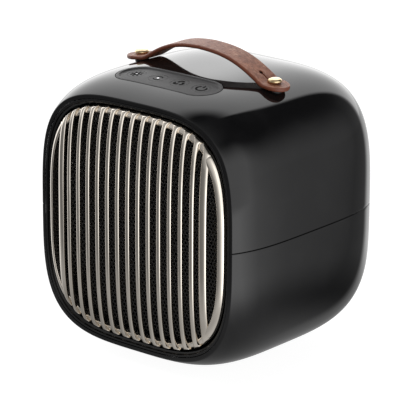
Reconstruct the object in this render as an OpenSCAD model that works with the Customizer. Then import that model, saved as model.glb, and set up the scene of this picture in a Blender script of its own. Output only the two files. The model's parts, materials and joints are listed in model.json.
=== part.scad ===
// Desktop ceramic fan heater: a rounded cube with a ribbed metal front and a leather strap handle.
// Origin: on the floor, under the middle of the case. +Z is up, and warm air leaves towards -Y.

/* [Case] */
// Width of the case, left to right
case_w = 174; // [170:1:182]
// Height of the case, without its feet and handle
case_h = 180; // [176:1:188]
// Depth that the rounded case would have if its front and back were not cut flat
case_d = 186; // [182:1:192]
// Depth between the flat front and the flat back
cut_depth = 138.4; // [136:0.2:142]
// Wall thickness of the two case halves
wall = 2.4; // [2:0.1:2.8]
// Gap between the two halves at mid height
seam_gap = 0.4; // [0.2:0.1:0.8]
// Height of the rubber feet below the case
foot_h = 3; // [2:0.5:4]

/* [Grille] */
// Number of upright ribs
rib_count = 15; // [11:2:15]
// Distance from one rib to the next
rib_pitch = 8.4; // [7:0.05:8.5]
// Width of one rib
rib_w = 3.7; // [2.5:0.1:4.5]
// How far the ribbed front crowns forward of its rim
crown = 10.7; // [8:0.1:12]

/* [Handle] */
// Distance between the two studs
stud_span = 108.8; // [100:0.4:112]
// Width of the leather strap
strap_w = 18.4; // [14:0.2:22]
// Thickness of the leather
strap_t = 2.6; // [2:0.2:3.2]
// Rise of the arch over the strap's flat ends
arch_rise = 15.2; // [12:0.2:18]
// Diameter of a stud's mushroom head
stud_d = 9; // [7:0.2:10]

/* [Controls] */
// Distance from one key to the next
key_pitch = 17.6; // [16:0.2:18]
// Diameter of a key cap
key_d = 12; // [10:0.5:12.5]
// How far a key travels
key_travel = 0.8; // [0.4:0.1:1]
// Slope of the control panel, down towards the front
panel_tilt = 5.4; // [4:0.2:7]

/* [Fan and heater] */
// Diameter of the impeller
fan_d = 100; // [90:1:101]
// Number of fan blades
blade_count = 7; // [5:1:9]
// Number of ceramic bars in the heating element
bar_count = 5; // [3:1:6]

/* [Hidden] */
$fn = 48;

black = [0.04, 0.04, 0.045];
nickel = [0.78, 0.74, 0.68];
leather = [0.58, 0.42, 0.34];
brass = [0.80, 0.62, 0.35];
mica = [0.75, 0.68, 0.55];

// A superellipse rounds the case across, and another rounds it front to back
across_p = 3.55;
along_q = 3.75;
grille_p = 3.45;

half_w = case_w / 2;
half_h = case_h / 2;
half_d = case_d / 2;
cut_y = cut_depth / 2;
mid_z = foot_h + half_h;
top_z = mid_z + half_h;

fit = 0.3;         // gap between pieces that sit one in the other
play = 0.1;        // radial play of a pin in its hole
over = 1;          // how far a cutter runs past the face that it cuts

function loft(y) = pow(1 - pow(abs(y) / half_d, along_q), 1 / along_q);
function rim_point(t, a, b, p) =
    let (r = pow(pow(abs(cos(t)) / a, p) + pow(abs(sin(t)) / b, p), -1 / p))
    [r * cos(t), r * sin(t)];
function shell_point(t, y, inset) =
    let (q = rim_point(t, half_w * loft(y) - inset, half_h * loft(y) - inset, across_p))
    [q[0], y, mid_z + q[1]];
function case_top(x, y) =
    mid_z + half_h * pow(pow(loft(y), across_p) - pow(abs(x) / half_w, across_p), 1 / across_p);

// The front opening, the ring in it and the grille in the ring share one outline, each a little smaller
front_w = half_w * loft(cut_y) - wall - 0.4;
front_h = half_h * loft(cut_y) - wall - 0.4;
ring_w = 2.7;
grille_w = front_w - ring_w - 0.4;
grille_h = front_h - ring_w - 0.4;
bezel_depth = 9;
bezel_back = -cut_y + bezel_depth;
rib_t = 4;
rim_y = -cut_y + 2.7;
surround_y = rim_y - 2;
surround_side = 5.6;
surround_top = 2.4;
surround_depth = 6;
dome_m = 3;

function rho(x, z) = pow(pow(abs(x) / grille_w, grille_p) + pow(abs(z) / grille_h, grille_p), 1 / grille_p);
function dome_y(x, z) = rim_y - crown * pow(1 - pow(min(rho(x, z), 1), dome_m), 1 / dome_m);
function rib_end(x) =
    (grille_h - fit) * pow(1 - pow((abs(x) + rib_w / 2) / (grille_w - fit), grille_p), 1 / grille_p);

// ---------- shared shapes ----------

module outline(a, b, p = across_p, steps = 72) {
    polygon([for (i = [0 : steps - 1]) rim_point(360 * i / steps, a, b, p)]);
}

// An upright slab between two depths, drawn as seen from the front
module slab(y0, y1) {
    translate([0, y1, mid_z]) rotate([90, 0, 0]) linear_extrude(y1 - y0) children();
}

// A round bar along the air's way, from y0 to y1
module bar_y(r, y0, y1) {
    translate([0, y1, 0]) rotate([90, 0, 0]) cylinder(r = r, h = y1 - y0);
}

// A block given by its middle and its size
module block(at, size) {
    translate(at) cube(size, center = true);
}

// Half of the case, from angle t0 to t1, as one closed sheet of the wall's thickness
module half_shell(t0, t1) {
    kt = 36;
    ky = 22;
    n = (kt + 1) * (ky + 1);
    ts = [for (i = [0 : kt]) t0 + (t1 - t0) * i / kt];
    ys = [for (j = [0 : ky]) cut_y * sin(90 * (2 * j / ky - 1))];
    points = [
        for (inset = [0, wall]) for (t = ts) for (y = ys) shell_point(t, y, inset)
    ];
    function out(i, j) = i * (ky + 1) + j;
    function inn(i, j) = n + out(i, j);
    faces = [
        for (i = [0 : kt - 1]) for (j = [0 : ky - 1])
            each [
                [out(i, j), out(i + 1, j), out(i + 1, j + 1)],
                [out(i, j), out(i + 1, j + 1), out(i, j + 1)],
                [inn(i, j), inn(i + 1, j + 1), inn(i + 1, j)],
                [inn(i, j), inn(i, j + 1), inn(i + 1, j + 1)]
            ],
        for (j = [0 : ky - 1])
            each [
                [out(0, j), out(0, j + 1), inn(0, j + 1)],
                [out(0, j), inn(0, j + 1), inn(0, j)],
                [out(kt, j + 1), out(kt, j), inn(kt, j)],
                [out(kt, j + 1), inn(kt, j), inn(kt, j + 1)]
            ],
        for (i = [0 : kt - 1])
            each [
                [out(i + 1, 0), out(i, 0), inn(i, 0)],
                [out(i + 1, 0), inn(i, 0), inn(i + 1, 0)],
                [out(i, ky), out(i + 1, ky), inn(i + 1, ky)],
                [out(i, ky), inn(i + 1, ky), inn(i, ky)]
            ]
    ];
    polyhedron(points, faces, convexity = 6);
}

// ---------- case ----------

seam_angle = asin(seam_gap / 2 / half_w);
foot_x = 32;
foot_y = 20;
foot_r = 6;
stem_r = 3;
plunger_x = 12;
plunger_y = 30;
plunger_r = 3;

module upper_shell() {
    color(black) difference() {
        half_shell(seam_angle, 180 - seam_angle);
        on_panel() pill(panel_r + fit, panel_l, -20, 10);
        for (side = [-1, 1])
            translate([side * stud_span / 2, 0, mid_z]) cylinder(r = boss_r + play, h = half_h);
    }
}

module lower_shell() {
    color(black) difference() {
        half_shell(180 + seam_angle, 360 - seam_angle);
        for (x = [-foot_x, foot_x]) for (y = [-foot_y, foot_y])
            translate([x, y, -over]) cylinder(r = stem_r + play, h = 20);
        translate([plunger_x, plunger_y, -over]) cylinder(r = plunger_r + 0.6, h = 20);
    }
}

module front_bezel() {
    color(black) slab(-cut_y, bezel_back) difference() {
        outline(front_w, front_h);
        outline(front_w - ring_w, front_h - ring_w, grille_p);
    }
}

module rib(x) {
    steps = 18;
    z_end = rib_end(x);
    zs = [for (i = [0 : steps]) z_end * sin(90 * (2 * i / steps - 1))];
    front = [for (z = zs) [dome_y(x, z), z]];
    back = [for (i = [steps : -1 : 0]) [dome_y(x, zs[i]) + rib_t, zs[i]]];
    translate([x - rib_w / 2, 0, mid_z]) rotate([90, 0, 90]) linear_extrude(rib_w)
        polygon(concat(front, back));
}

module front_grille() {
    color(nickel) {
        slab(surround_y, surround_y + surround_depth) difference() {
            outline(grille_w, grille_h, grille_p);
            outline(grille_w - surround_side, grille_h - surround_top, grille_p);
        }
        for (i = [0 : rib_count - 1]) rib((i - (rib_count - 1) / 2) * rib_pitch);
    }
}

// A thin plate of six-sided cells, which keeps fingers off the element
mesh_back = bezel_back + 1;
module guard_mesh() {
    cell = 10;
    cell_d = 10.2;
    row = cell * sin(60);
    color(black) slab(bezel_back, mesh_back) difference() {
        outline(grille_w + 1, grille_h + 1, grille_p);
        for (j = [-7 : 7]) for (i = [-7 : 7]) {
            x = cell * (i + (j % 2 == 0 ? 0 : 0.5));
            z = row * j;
            if (rho(x, z) < 0.88) translate([x, z]) rotate(30) circle(d = cell_d, $fn = 6);
        }
    }
}

cover_y0 = cut_y - 5.2;
cover_y1 = cut_y - 2.2;
screw_x = 56;
screw_z = 58;
gland_x = -38;
gland_z = 34;
gland_bore = 3.5;
gland_r = 5.4;

module rear_cover() {
    slot_w = 27;
    color(black) difference() {
        slab(cover_y0, cover_y1) difference() {
            outline(front_w - 0.2, front_h - 0.2);
            for (z = [-36 : 9 : 45]) for (x = [-32, 0, 32])
                translate([x, z]) square([slot_w, 4.2], center = true);
        }
        for (x = [-screw_x, screw_x]) for (z = [-screw_z, screw_z])
            translate([x, 0, mid_z + z]) bar_y(1.6, cover_y0 - over, cover_y1 + over);
        translate([gland_x, 0, gland_z]) bar_y(gland_r + play, cover_y0 - over, cover_y1 + over);
    }
}

module rear_screws() {
    color("silver") for (x = [-screw_x, screw_x]) for (z = [-screw_z, screw_z])
        translate([x, 0, mid_z + z]) {
            bar_y(1.5, cover_y0 - 9, cover_y1);
            bar_y(2.9, cover_y1, cover_y1 + 1.8);
        }
}

// The ring inside the back that the cover is screwed to
module rear_frame() {
    color(black) difference() {
        union() {
            slab(cover_y0 - 10, cover_y0) difference() {
                outline(front_w - 2, front_h - 2);
                outline(front_w - 5, front_h - 5);
            }
            for (x = [-1, 1]) for (z = [-1, 1])
                translate([x * screw_x, 0, mid_z + z * screw_z]) bar_y(5, cover_y0 - 10, cover_y0);
            for (x = [-1, 1]) for (z = [-1, 1])
                block([x * (screw_x + 5), cover_y0 - 5, mid_z + z * (screw_z + 2)], [10, 10, 4]);
        }
        for (x = [-screw_x, screw_x]) for (z = [-screw_z, screw_z])
            translate([x, 0, mid_z + z]) bar_y(1.5, cover_y0 - 10 - over, cover_y0 + over);
    }
}

gland_end = crown - rim_y;
gland_start = cover_y0 - 8;
module cord_gland() {
    color(black) translate([gland_x, 0, gland_z]) difference() {
        union() {
            bar_y(gland_r, gland_start, gland_end);
            bar_y(8, cover_y1, cover_y1 + 3);
        }
        bar_y(gland_bore, gland_start - over, gland_end + over);
    }
}

module foot(x, y) {
    color([0.06, 0.06, 0.06]) translate([x, y, 0]) {
        cylinder(r = foot_r, h = foot_h + 0.2);
        cylinder(r = stem_r, h = foot_h + 6);
    }
}

module foot_front_left() { foot(-foot_x, -foot_y); }
module foot_front_right() { foot(foot_x, -foot_y); }
module foot_rear_left() { foot(-foot_x, foot_y); }
module foot_rear_right() { foot(foot_x, foot_y); }

// ---------- controls ----------

panel_y = -37;
panel_r = 13.8;
panel_l = 25.7;
panel_top = 0;
panel_t = 2.4;
key_flange_t = 1;
board_z = -10;
board_t = 1.6;
switch_h = 3.5;
stem_end = board_z + board_t + switch_h + key_travel + 0.05;

// Places its children in the panel's own frame, whose Z stands square to the panel
module on_panel() {
    translate([0, panel_y, case_top(0, panel_y)]) rotate([panel_tilt, 0, 0]) children();
}

// A slab with round ends: r is the end radius and l the straight half length
module pill(r, l, z0, z1) {
    translate([0, 0, z0]) linear_extrude(z1 - z0) union() {
        square([2 * l, 2 * r], center = true);
        for (x = [-l, l]) translate([x, 0]) circle(r = r);
    }
}

function key_x(i) = (i - 1.5) * key_pitch;

module control_panel() {
    color([0.10, 0.10, 0.105]) on_panel() difference() {
        pill(panel_r, panel_l, panel_top - panel_t, panel_top);
        for (i = [0 : 3])
            translate([key_x(i), 0, -panel_t - over]) cylinder(d = key_d + 2 * fit, h = panel_t + 2 * over);
    }
}

module key(i) {
    flange_z = panel_top - panel_t - 0.05;
    color([0.12, 0.12, 0.125]) on_panel() translate([key_x(i), 0, 0]) {
        translate([0, 0, flange_z - key_flange_t]) cylinder(d = key_d + 2, h = key_flange_t);
        translate([0, 0, flange_z]) cylinder(d = key_d, h = panel_top + 0.4 - flange_z);
        translate([0, 0, stem_end]) cylinder(r = 1.6, h = flange_z - stem_end);
    }
}

module key_heat() { key(0); }
module key_timer() { key(1); }
module key_fan() { key(2); }
module key_power() { key(3); }

module control_board() {
    color([0.05, 0.28, 0.14]) on_panel()
        block([0, 0, board_z + board_t / 2], [68, 20, board_t]);
}

module tact_switches() {
    color("dimgray") on_panel() for (i = [0 : 3])
        block([key_x(i), 0, board_z + board_t + switch_h / 2], [6, 6, switch_h]);
}

module status_leds() {
    color("white") on_panel() for (i = [0 : 2])
        translate([(i - 1) * key_pitch, 0, board_z + board_t]) cylinder(r = 1.5, h = 3);
}

// ---------- strap handle ----------

stud_x = stud_span / 2;
strap_z = top_z - 2.5;
tip_x = stud_x + 9.8;
split_x = 40;
split_gap = 0.5;
foot_left = 46;
foot_right = 50;
pin_r = 2;
stud_neck_r = 2.2;

// Height of the strap's underside: flat ends, and an arch that rises more steeply on the left
function arch_t(x) = max(0, 1 - abs(x) / (x < 0 ? foot_left : foot_right));
function strap_under(x) =
    strap_z + arch_rise * (1 - pow(1 - arch_t(x), 2.4)) * 1.04 * arch_t(x) / (arch_t(x) + 0.04);

// The strap from x0 to x1, seen from the front and pushed out to the strap's width
module strap_run(x0, x1, steps) {
    xs = [for (i = [0 : steps]) x0 + (x1 - x0) * i / steps];
    under = [for (x = xs) [x, strap_under(x)]];
    upper = [for (i = [steps : -1 : 0]) [xs[i], strap_under(xs[i]) + strap_t]];
    translate([0, strap_w / 2, 0]) rotate([90, 0, 0]) linear_extrude(strap_w)
        polygon(concat(under, upper));
}

module strap_end(side) {
    x0 = split_x + split_gap / 2;
    x1 = tip_x - strap_w / 2;
    color(leather) difference() {
        union() {
            if (side > 0) strap_run(x0, x1, 8);
            else strap_run(-x1, -x0, 8);
            translate([side * x1, 0, strap_z]) cylinder(r = strap_w / 2, h = strap_t);
        }
        translate([side * stud_x, 0, strap_z - over])
            cylinder(r = stud_neck_r + play, h = strap_t + 2 * over);
    }
}

module strap_end_left() { strap_end(-1); }
module strap_end_right() { strap_end(1); }
module strap_arch() {
    color(leather) strap_run(-split_x + split_gap / 2, split_x - split_gap / 2, 24);
}

// A mushroom stud: domed head, neck through the leather, threaded pin through the case
head_z = strap_z + strap_t + 0.1;
module stud(side) {
    r = stud_d / 2;
    color(brass) translate([side * stud_x, 0, head_z]) rotate_extrude() polygon(concat(
        [[0, 0], [r - 0.5, 0], [r, 0.5]],
        [for (a = [0 : 15 : 90]) [r * cos(a), 1 + 1.9 * sin(a)]],
        [[0, 2.9]]
    ));
    color(brass) translate([side * stud_x, 0, strap_z]) cylinder(r = stud_neck_r, h = strap_t + 0.2);
    color(brass) translate([side * stud_x, 0, strap_z - 14]) cylinder(r = pin_r, h = 14.1);
}
module stud_left() { stud(-1); }
module stud_right() { stud(1); }

// The bushes under the strap's ends pass through the case, and hold the leather clear of its gloss
boss_r = 4.4;
boss_h = 9.5;
module stud_bosses() {
    color(black) for (side = [-1, 1]) translate([side * stud_x, 0, strap_z - 0.1 - boss_h]) difference() {
        cylinder(r = boss_r, h = boss_h);
        translate([0, 0, -over]) cylinder(r = pin_r + play, h = boss_h + 2 * over);
    }
}

module stud_nuts() {
    color("silver") for (side = [-1, 1]) translate([side * stud_x, 0, strap_z - 13]) difference() {
        cylinder(d = 8, h = 3.2, $fn = 6);
        translate([0, 0, -over]) cylinder(r = pin_r + 0.02, h = 3.2 + 2 * over);
    }
}

// ---------- heater ----------

duct_w = 116;
duct_h = 104;
duct_wall = 2;
duct_y0 = mesh_back + 0.2;
duct_y1 = -2;
ptc_y0 = -48;
ptc_y1 = -30;
ptc_w = duct_w - 2 * duct_wall - 0.6;
ptc_h = duct_h - 2 * duct_wall - 0.6;
ptc_border = 7;
core_w = ptc_w - 2 * ptc_border;
core_h = ptc_h - 2 * ptc_border;
bar_h = 2.4;
band_h = core_h / bar_count;

module tube_frame(w, h, t, y0, y1) {
    slab(y0, y1) difference() {
        square([w, h], center = true);
        square([w - 2 * t, h - 2 * t], center = true);
    }
}

module air_duct() {
    color(mica) tube_frame(duct_w, duct_h, duct_wall, duct_y0, duct_y1);
}

module ptc_frame() {
    color([0.85, 0.83, 0.78]) tube_frame(ptc_w, ptc_h, ptc_border, ptc_y0, ptc_y1);
}

// Ceramic bars lie across the air's way, and the fin blocks fill the bands between them
module ptc_bars() {
    color([0.9, 0.88, 0.82]) for (i = [0 : bar_count - 1])
        block([0, (ptc_y0 + ptc_y1) / 2, mid_z - core_h / 2 + (i + 0.5) * band_h], [core_w, 12, bar_h]);
}

module ptc_fins() {
    fin_pitch = 4;
    fin_t = 0.6;
    gap_h = (band_h - bar_h) / 2;
    fins = floor(core_w / fin_pitch / 2);
    color("lightgray") for (i = [0 : bar_count - 1]) for (s = [-1, 1]) {
        z = mid_z - core_h / 2 + (i + 0.5) * band_h + s * (bar_h + gap_h) / 2;
        block([0, (ptc_y0 + ptc_y1) / 2, z - s * (gap_h / 2 - 0.4)], [core_w - 1, 11, 0.8]);
        for (k = [-fins + 1 : fins - 1])
            block([k * fin_pitch, (ptc_y0 + ptc_y1) / 2, z], [fin_t, 11, gap_h - 0.02]);
    }
}

module thermal_cutoff() {
    color("silver") translate([0, 0, mid_z + ptc_h / 2 - ptc_border / 2]) {
        bar_y(3, ptc_y1 + 0.1, ptc_y1 + 6);
        block([0, ptc_y1 + 8, 0], [12, 4, 6]);
    }
}

module thermal_fuse() {
    color("white") translate([-30, ptc_y1 + 2.3, mid_z + ptc_h / 2 - ptc_border / 2])
        rotate([0, 90, 0]) cylinder(r = 2, h = 12, center = true);
}

// ---------- fan ----------

shroud_r = fan_d / 2 + 2;
shroud_y1 = 26;
hub_r = 17;
hub_y0 = 4;
hub_y1 = 20;
shaft_r = 1.6;
motor_r = 20;
motor_y1 = 48;

// A plate closes the duct's end, a ring guides the air, and three spokes carry the motor's mounting disc
mount_t = 4;
mount_r = motor_r + 4;
module fan_shroud() {
    color(black) {
        slab(-2, 0) difference() {
            square([duct_w, duct_h + 8], center = true);
            circle(r = shroud_r);
        }
        slab(0, shroud_y1 - mount_t) difference() {
            circle(r = shroud_r + 2);
            circle(r = shroud_r);
        }
        slab(shroud_y1 - mount_t, shroud_y1) difference() {
            union() {
                difference() {
                    circle(r = shroud_r + 2);
                    circle(r = shroud_r);
                }
                circle(r = mount_r);
                for (a = [30, 150, 270]) rotate(-a)
                    translate([(shroud_r + mount_r) / 2, 0]) square([shroud_r - mount_r + 2, 6], center = true);
            }
            circle(r = 6);
            for (a = [90, 210, 330]) rotate(-a) translate([motor_r - 6, 0]) circle(r = 1.3);
        }
    }
}

module fan_impeller() {
    blade_t = 1.6;
    blade_pitch = 32;
    color([0.85, 0.85, 0.82]) translate([0, 0, mid_z]) difference() {
        union() {
            bar_y(hub_r, hub_y0, hub_y1);
            intersection() {
                for (i = [0 : blade_count - 1]) rotate([0, i * 360 / blade_count, 0])
                    translate([(fan_d / 2 + hub_r) / 2 - 1, (hub_y0 + hub_y1) / 2, 0])
                        rotate([blade_pitch, 0, 0])
                            cube([fan_d / 2 - hub_r + 2, blade_t, 24], center = true);
                bar_y(fan_d / 2, hub_y0 - 3, hub_y1 + 1);
            }
        }
        bar_y(shaft_r, hub_y0 - 4, hub_y1 + over);
    }
}

module motor_shaft() {
    color("silver") translate([0, 0, mid_z]) bar_y(shaft_r, hub_y0 - 1, motor_y1 + 3);
}

module motor_body() {
    color([0.55, 0.55, 0.57]) translate([0, 0, mid_z]) difference() {
        union() {
            bar_y(motor_r, shroud_y1, motor_y1);
            bar_y(5.8, shroud_y1 - 3, shroud_y1);
            bar_y(6, motor_y1, motor_y1 + 2);
        }
        bar_y(shaft_r + 0.06, shroud_y1 - 3 - over, motor_y1 + 2 + over);
    }
}

module motor_screws() {
    color("silver") translate([0, 0, mid_z]) for (a = [90, 210, 330]) rotate([0, a, 0])
        translate([motor_r - 6, 0, 0]) {
            bar_y(1.2, shroud_y1 - 4, shroud_y1 - 0.05);
            bar_y(2.4, shroud_y1 - 5.4, shroud_y1 - 4.05);
        }
}

// ---------- chassis and electrics ----------

floor_z = foot_h + wall + 4;
stand_x = 44;
duct_bottom = mid_z - duct_h / 2;

// Two uprights and a cross plate that carry the duct above the floor of the case
module duct_stand() {
    stand_h = duct_bottom - floor_z - 0.1;
    color(black) {
        for (side = [-1, 1])
            block([side * stand_x * 0.6, -24, floor_z + stand_h / 2], [3, 44, stand_h]);
        block([0, -24, floor_z + 1.5], [stand_x * 1.2, 44, 3]);
    }
}

board_y = 20;
power_x = -26;
power_z = floor_z + 8;
module power_board() {
    color([0.05, 0.28, 0.14]) block([power_x, board_y, power_z + 0.8], [44, 34, 1.6]);
}

module board_spacers() {
    color("ivory") for (x = [-16, 16]) for (y = [-13, 13])
        translate([power_x + x, board_y + y, floor_z]) cylinder(r = 2.5, h = power_z - floor_z - 0.02);
}

module relay() {
    color([0.1, 0.2, 0.5]) block([power_x - 8, board_y, power_z + 1.65 + 7], [18, 15, 14]);
}

module terminal_block() {
    color("ivory") block([power_x + 13, board_y, power_z + 1.65 + 4.5], [10, 20, 9]);
}

// The switch opens when the heater tips: its plunger then springs out of the case's underside
plunger_travel = 4;
switch_floor = floor_z + 4.6;
module tip_switch() {
    color("dimgray") difference() {
        block([plunger_x + 4, plunger_y, switch_floor + 6], [22, 12, 12]);
        translate([plunger_x, plunger_y, switch_floor - over]) cylinder(r = plunger_r - 1 + play, h = 9 + over);
    }
}

module tip_plunger() {
    color("white") translate([plunger_x, plunger_y, 0]) {
        translate([0, 0, 0.1]) cylinder(r = plunger_r, h = switch_floor - 0.4);
        translate([0, 0, switch_floor - 1]) cylinder(r = plunger_r - 1, h = 8);
    }
}

upper_shell();
lower_shell();
front_bezel();
front_grille();
guard_mesh();
rear_cover();
rear_screws();
rear_frame();
cord_gland();
control_panel();
key_heat();
key_timer();
key_fan();
key_power();
control_board();
tact_switches();
status_leds();
strap_end_left();
strap_end_right();
strap_arch();
stud_left();
stud_right();
stud_bosses();
stud_nuts();
air_duct();
ptc_frame();
ptc_bars();
ptc_fins();
thermal_cutoff();
thermal_fuse();
fan_shroud();
fan_impeller();
motor_body();
motor_shaft();
motor_screws();
duct_stand();
power_board();
board_spacers();
relay();
terminal_block();
tip_switch();
tip_plunger();
foot_front_left();
foot_front_right();
foot_rear_left();
foot_rear_right();
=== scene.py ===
# %% [markdown]
# # A small ceramic heater
# The case is a rounded cube in gloss black, with a domed metal grille, a soft control panel and a leather
# strap. The imported model gives the sizes. This lesson makes the surfaces and the finishes that a hand and
# an eye would meet, and lets every visible piece but the two strap halves ride on the body that moves it.

# %% The frame
import json
import math

import bmesh
import bpy
import numpy as np
from mathutils import Matrix, Vector


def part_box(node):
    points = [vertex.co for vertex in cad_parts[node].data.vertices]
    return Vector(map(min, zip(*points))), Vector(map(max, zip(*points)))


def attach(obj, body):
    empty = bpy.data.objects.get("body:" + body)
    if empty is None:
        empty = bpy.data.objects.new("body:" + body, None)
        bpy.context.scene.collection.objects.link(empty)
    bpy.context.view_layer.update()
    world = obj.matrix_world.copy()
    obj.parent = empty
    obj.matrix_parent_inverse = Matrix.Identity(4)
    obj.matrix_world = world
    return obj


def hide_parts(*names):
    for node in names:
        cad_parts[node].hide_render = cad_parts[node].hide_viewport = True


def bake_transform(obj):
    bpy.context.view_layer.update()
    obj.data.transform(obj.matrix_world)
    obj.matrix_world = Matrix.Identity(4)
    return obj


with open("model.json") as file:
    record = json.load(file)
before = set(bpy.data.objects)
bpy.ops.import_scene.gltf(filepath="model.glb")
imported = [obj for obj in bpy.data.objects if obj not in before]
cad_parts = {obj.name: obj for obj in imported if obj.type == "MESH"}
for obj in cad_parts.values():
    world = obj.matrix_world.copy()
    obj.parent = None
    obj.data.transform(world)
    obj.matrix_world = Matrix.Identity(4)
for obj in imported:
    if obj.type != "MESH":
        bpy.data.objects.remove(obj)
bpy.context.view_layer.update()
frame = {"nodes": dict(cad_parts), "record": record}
nodes = frame["nodes"]
MM = 0.001


def box_mm(node):
    """A node's lowest and highest corners in millimetres, as two arrays."""
    low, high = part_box(node)
    return np.array(low) / MM, np.array(high) / MM


# %% [markdown]
# The camera stands in front, to the right and a little above, and far away with a long lens, so the cube
# keeps nearly parallel edges. A point, a direction and a lens are all that it needs. Its turn comes from
# three unit vectors, because Euler angles would hide the small roll.

# %% The camera
AZIMUTH, ELEVATION, ROLL = math.radians(39.96), math.radians(17.72), math.radians(0.3)
DISTANCE = 1.877
LENS = 254.8


def make_camera():
    """Looks along minus back; right and up are square to it, turned by the roll."""
    back = Vector((
        math.sin(AZIMUTH) * math.cos(ELEVATION),
        -math.cos(AZIMUTH) * math.cos(ELEVATION),
        math.sin(ELEVATION),
    ))
    right = Vector((math.cos(AZIMUTH), math.sin(AZIMUTH), 0))
    up = back.cross(right)
    aim = Vector((0, 0, 93 * MM)) + right * (1.0 * MM) - up * (3.4 * MM)
    turned_right = right * math.cos(ROLL) + up * math.sin(ROLL)
    turned_up = up * math.cos(ROLL) - right * math.sin(ROLL)
    camera = bpy.data.objects.new("camera", bpy.data.cameras.new("camera"))
    camera.data.lens = LENS
    camera.data.sensor_width = 36
    turn = Matrix((turned_right, turned_up, back)).transposed()
    camera.matrix_world = Matrix.Translation(aim + back * DISTANCE) @ turn.to_4x4()
    bpy.context.scene.collection.objects.link(camera)
    bpy.context.scene.camera = camera
    return camera


camera = make_camera()
print("camera at", [round(c, 3) for c in camera.matrix_world.translation])

# %% [markdown]
# Every surface below is a grid of points worked out by a formula. Two helpers put a grid into a mesh. The
# first joins neighbouring points into four-sided faces, and can close the grid in either direction. The
# second makes the object, merges points that lie on each other and smooths all but the sharp edges.

# %% Grids into meshes


def grid_faces(rows, columns, close_rows=False, close_columns=False, first=0):
    """Four-sided faces between neighbours of a rows by columns grid, whose points count up from first."""
    number = np.arange(rows * columns).reshape(rows, columns) + first
    if close_rows:
        number = np.vstack([number, number[:1]])
    if close_columns:
        number = np.hstack([number, number[:, :1]])
    quads = np.stack([number[:-1, :-1], number[1:, :-1], number[1:, 1:], number[:-1, 1:]], axis=-1)
    return quads.reshape(-1, 4)


def add_piece(name, points, faces, body, finish, smooth=40, merge=True):
    """Makes one object from points in millimetres, turns its faces outward, and lets it ride on its body."""
    mesh = bpy.data.meshes.new(name)
    mesh.from_pydata((np.asarray(points).reshape(-1, 3) * MM).tolist(), [], [list(f) for f in faces])
    work = bmesh.new()
    work.from_mesh(mesh)
    if merge:
        bmesh.ops.remove_doubles(work, verts=work.verts, dist=0.002 * MM)
        bmesh.ops.dissolve_degenerate(work, edges=work.edges, dist=0.001 * MM)
        loose = [v for v in work.verts if not v.link_faces]
        bmesh.ops.delete(work, geom=loose, context="VERTS")
    bmesh.ops.recalc_face_normals(work, faces=work.faces)
    work.to_mesh(mesh)
    work.free()
    mesh.polygons.foreach_set("use_smooth", np.ones(len(mesh.polygons), bool))
    mesh.set_sharp_from_angle(angle=math.radians(smooth))
    mesh.materials.append(finish)
    piece = bpy.data.objects.new(name, mesh)
    bpy.context.scene.collection.objects.link(piece)
    if body:
        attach(piece, body)
    print(f"{name}: {len(mesh.vertices)} points, {len(mesh.polygons)} faces")
    return piece


# %% [markdown]
# Finishes are node trees. Wiring nodes by hand hides the sums, so a small class wraps one socket: adding
# two of them adds a Math node. Noise, ramps and bumps come from one method that takes a node's type, its
# settings and what goes into its sockets.

# %% Shader sums


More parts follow.
